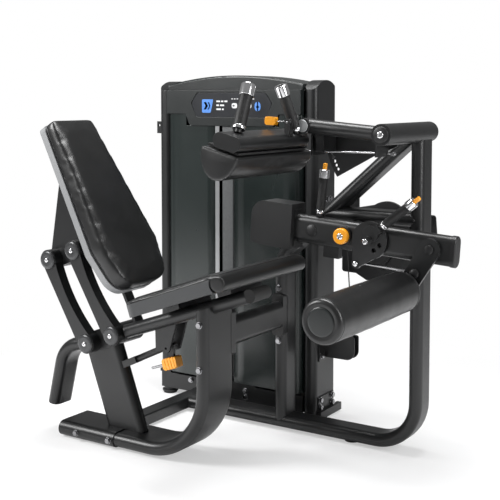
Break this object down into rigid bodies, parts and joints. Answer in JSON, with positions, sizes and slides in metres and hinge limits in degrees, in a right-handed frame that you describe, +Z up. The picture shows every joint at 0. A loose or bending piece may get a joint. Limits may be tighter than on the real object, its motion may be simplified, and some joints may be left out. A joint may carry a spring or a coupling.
{
  "type": "lying leg curl",
  "caption": "Seated leg curl machine: padded seat, linked backrest, thigh pad arm and ankle roller lever beside a shrouded weight-stack tower.",
  "frame": {"origin": "centre of the footprint, on the floor", "axes": "+X the way the user faces, +Y toward the weight tower, +Z up"},
  "size_m": [1.5948, 1.12, 1.442],
  "materials": {
    "frame_black": "satin powder coat",
    "trim_black": "satin",
    "weight_black": "satin paint",
    "shroud_green": "semi-gloss",
    "shell_grey": "satin",
    "pad_vinyl": "grained vinyl",
    "grip_rubber": "ribbed",
    "amber_plastic": "gloss",
    "bright_steel": "polished",
    "pulley_nylon": "satin",
    "cable_black": "satin"
  },
  "bodies": {
    "frame": {"front_rail": "frame_black", "floor_cross": "frame_black", "mid_cross": "frame_black", "main_rail": "frame_black", "center_frame": "frame_black", "upper_beam": "frame_black", "pivot_housing": "frame_black", "seat_column": "frame_black", "tail_tube": "frame_black", "seat_frame": "frame_black", "gas_spring": "bright_steel", "seat_shell": "shell_grey", "seat_pad": "pad_vinyl", "left_column": "frame_black", "right_column": "frame_black", "tower_cap": "shroud_green", "left_panel": "shroud_green", "right_panel": "shroud_green", "placard_cover": "shroud_green", "rear_panel": "shroud_green", "tower_base": "frame_black", "pulley_frames": "frame_black", "resting_plates": "weight_black", "guide_rods": "bright_steel", "machine_cable": "cable_black", "cable_guard": "frame_black", "frame_bolts": "bright_steel", "rubber_stops": "cable_black"},
    "lever": {"lever_beam": "frame_black", "lever_end_cap": "trim_black", "counterweight": "weight_black", "knee_axle": "bright_steel", "knee_cap": "amber_plastic", "cable_cam": "weight_black", "lever_handle": "grip_rubber"},
    "lever_button": {"lever_button": "amber_plastic"},
    "adjuster": {"adjust_disc": "frame_black", "adjust_handle": "grip_rubber"},
    "adjust_button": {"adjust_button": "amber_plastic"},
    "adjust_rod": {"adjust_rod": "bright_steel"},
    "roller_arm": {"roller_link": "frame_black"},
    "roller": {"ankle_roller": "pad_vinyl"},
    "stack": {"lifted_plates": "weight_black", "stack_cable": "cable_black"},
    "selector": {"selector_pin": "bright_steel"},
    "top_pulley_stack": {"top_pulley_stack": "pulley_nylon"},
    "top_pulley_side": {"top_pulley_side": "pulley_nylon"},
    "inner_pulley": {"inner_pulley": "pulley_nylon"},
    "lower_pulley": {"lower_pulley": "pulley_nylon"},
    "thigh": {"thigh_arm": "frame_black", "thigh_pad": "pad_vinyl", "thigh_handles": "grip_rubber"},
    "thigh_release": {"thigh_release": "amber_plastic"},
    "pull_rod": {"release_rod": "bright_steel"},
    "rear_link": {"link_rear": "frame_black"},
    "front_link": {"link_front": "frame_black"},
    "backrest": {"backrest_frame": "frame_black", "backrest_shell": "shell_grey", "backrest_pad": "pad_vinyl"},
    "seat_release": {"seat_release": "amber_plastic"}
  },
  "joints": [
    {"name": "lever_swing", "type": "hinge", "parent": "frame", "child": "lever", "pos_m": [0.356, 0.096, 0.836], "axis": [0, 1, 0], "range_deg": [0, 75]},
    {"name": "lever_button_press", "type": "slide", "parent": "lever", "child": "lever_button", "axis": [-0.119, 0, -0.9929], "range_m": [0, 0.008], "stiffness_N_per_m": 300, "springref_m": -0.004},
    {"name": "start_adjust", "type": "hinge", "parent": "lever", "child": "adjuster", "pos_m": [0.46975, 0.063, 0.82839], "axis": [0, 1, 0], "range_deg": [-10, 12]},
    {"name": "adjust_button_press", "type": "slide", "parent": "adjuster", "child": "adjust_button", "axis": [-0.7878, 0, -0.6159], "range_m": [0, 0.008], "stiffness_N_per_m": 300, "springref_m": -0.004},
    {"name": "rod_pivot", "type": "hinge", "parent": "adjuster", "child": "adjust_rod", "pos_m": [0.41567, 0.082, 0.73839], "axis": [0, 1, 0], "range_deg": [-12, 10]},
    {"name": "roller_arm_swing", "type": "hinge", "parent": "lever", "child": "roller_arm", "pos_m": [0.70223, 0.063, 0.81282], "axis": [0, 1, 0], "range_deg": [-10, 12]},
    {"name": "roller_spin", "type": "hinge", "parent": "roller_arm", "child": "roller", "pos_m": [0.61004, -0.258, 0.65939], "axis": [0, 1, 0], "continuous": true},
    {"name": "stack_lift", "type": "slide", "parent": "frame", "child": "stack", "axis": [0, 0, 1], "range_m": [0, 0.248], "deforming": ["stack_cable"]},
    {"name": "selector_pull", "type": "slide", "parent": "stack", "child": "selector", "axis": [0, -1, 0], "range_m": [0, 0.09]},
    {"name": "top_pulley_stack_spin", "type": "hinge", "parent": "frame", "child": "top_pulley_stack", "pos_m": [-0.3223, 0.452, 1.306], "axis": [0, 1, 0], "range_deg": [-5, 300]},
    {"name": "top_pulley_side_spin", "type": "hinge", "parent": "frame", "child": "top_pulley_side", "pos_m": [-0.1554, 0.452, 1.306], "axis": [0, 1, 0], "range_deg": [-5, 300]},
    {"name": "inner_pulley_spin", "type": "hinge", "parent": "frame", "child": "inner_pulley", "pos_m": [-0.06, 0.452, 0.33], "axis": [0, 1, 0], "range_deg": [-300, 5]},
    {"name": "lower_pulley_spin", "type": "hinge", "parent": "frame", "child": "lower_pulley", "pos_m": [0.155, 0.452, 0.33], "axis": [0, 1, 0], "range_deg": [-300, 5]},
    {"name": "thigh_adjust", "type": "hinge", "parent": "frame", "child": "thigh", "pos_m": [0.588, -0.03, 1.22], "axis": [0, -1, 0], "range_deg": [0, 28]},
    {"name": "thigh_release_pull", "type": "hinge", "parent": "thigh", "child": "thigh_release", "pos_m": [0.2615, -0.168, 1.2608], "axis": [0, 1, 0], "range_deg": [0, 12], "stiffness_Nm_per_rad": 2, "springref_deg": -17.19},
    {"name": "pull_rod_slide", "type": "slide", "parent": "thigh", "child": "pull_rod", "axis": [1, 0, 0], "range_m": [0, 0.0081]},
    {"name": "backrest_slide", "type": "hinge", "parent": "frame", "child": "rear_link", "pos_m": [-0.561, -0.255, 0.389], "axis": [0, 1, 0], "range_deg": [0, 20]},
    {"name": "front_link_swing", "type": "hinge", "parent": "frame", "child": "front_link", "pos_m": [-0.43, -0.255, 0.437], "axis": [0, 1, 0], "range_deg": [0, 20]},
    {"name": "backrest_level", "type": "hinge", "parent": "rear_link", "child": "backrest", "pos_m": [-0.756, -0.255, 0.702], "axis": [0, 1, 0], "range_deg": [-20, 0]},
    {"name": "seat_release_pull", "type": "hinge", "parent": "frame", "child": "seat_release", "pos_m": [-0.196, -0.255, 0.412], "axis": [0, -1, 0], "range_deg": [0, 10], "stiffness_Nm_per_rad": 3, "springref_deg": -17.19}
  ],
  "couplings": [
    {"joint": "stack_lift", "follows": "lever_swing", "m_per_rad": 0.1887},
    {"joint": "top_pulley_stack_spin", "follows": "lever_swing", "ratio": 3.956},
    {"joint": "top_pulley_side_spin", "follows": "lever_swing", "ratio": 3.956},
    {"joint": "inner_pulley_spin", "follows": "lever_swing", "ratio": -3.956},
    {"joint": "lower_pulley_spin", "follows": "lever_swing", "ratio": -3.956},
    {"joint": "rod_pivot", "follows": "start_adjust", "ratio": -1},
    {"joint": "roller_arm_swing", "follows": "start_adjust", "ratio": 1},
    {"joint": "pull_rod_slide", "follows": "thigh_release_pull", "m_per_rad": 0.0382},
    {"joint": "front_link_swing", "follows": "backrest_slide", "ratio": 1},
    {"joint": "backrest_level", "follows": "backrest_slide", "ratio": -1}
  ]
}
